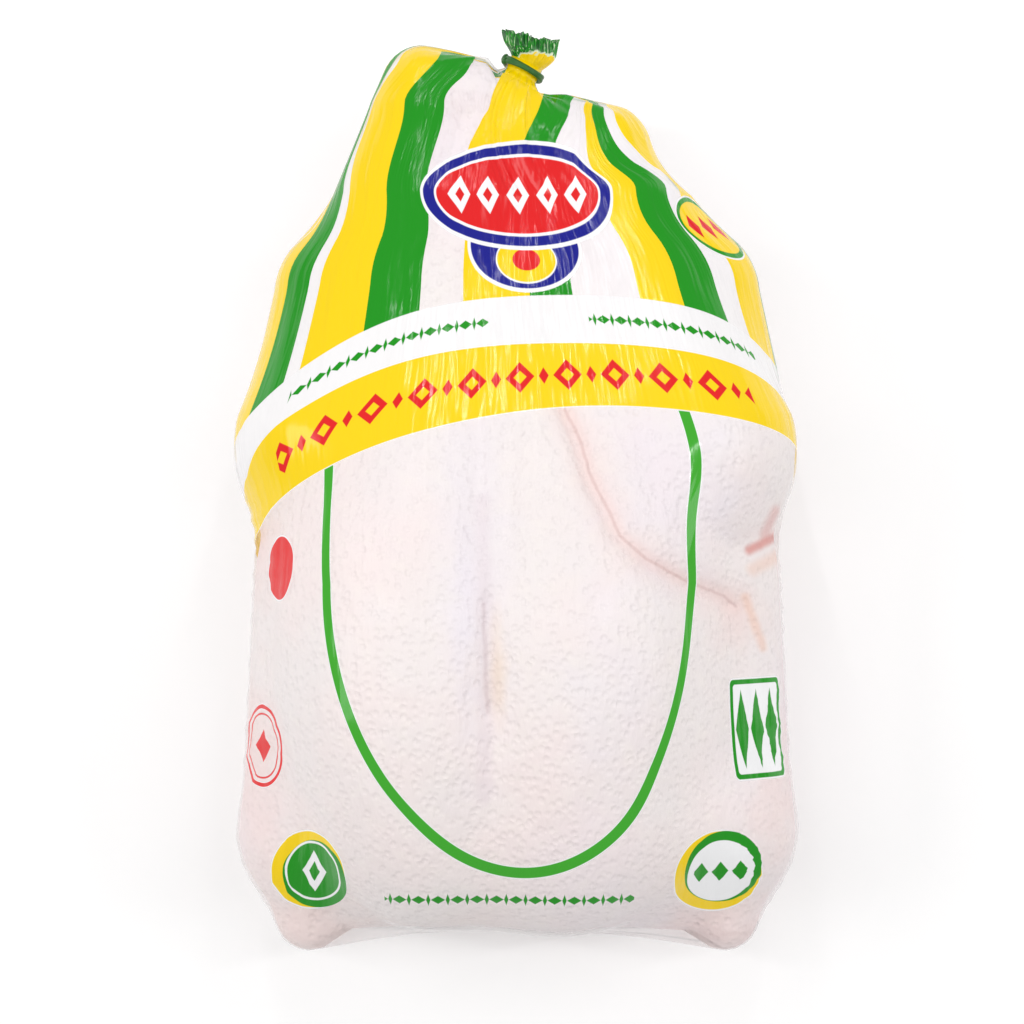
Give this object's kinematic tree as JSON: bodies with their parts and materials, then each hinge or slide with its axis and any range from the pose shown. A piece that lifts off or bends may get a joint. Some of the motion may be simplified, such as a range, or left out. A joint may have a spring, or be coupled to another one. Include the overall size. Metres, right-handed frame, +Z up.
{
  "type": "whole raw chicken in a sealed bag",
  "caption": "Whole raw chicken lying breast up in a taut clear printed bag, gathered at the leg end into a tied neck with a short tuft.",
  "frame": {"origin": "centre of the bounding box in plan, on the plane the bird's back rests on", "axes": "+Z up out of the breast, +Y along the body towards the tied neck of the bag, +X to the right seen from above"},
  "size_m": [0.166, 0.2706, 0.1011],
  "materials": {
    "bag_of_chicken": "clear glossy film over pale raw skin",
    "neck_tie": "satin green tape"
  },
  "bodies": {
    "root": {"bag_of_chicken": "bag_of_chicken", "neck_tie": "neck_tie"}
  },
  "joints": []
}
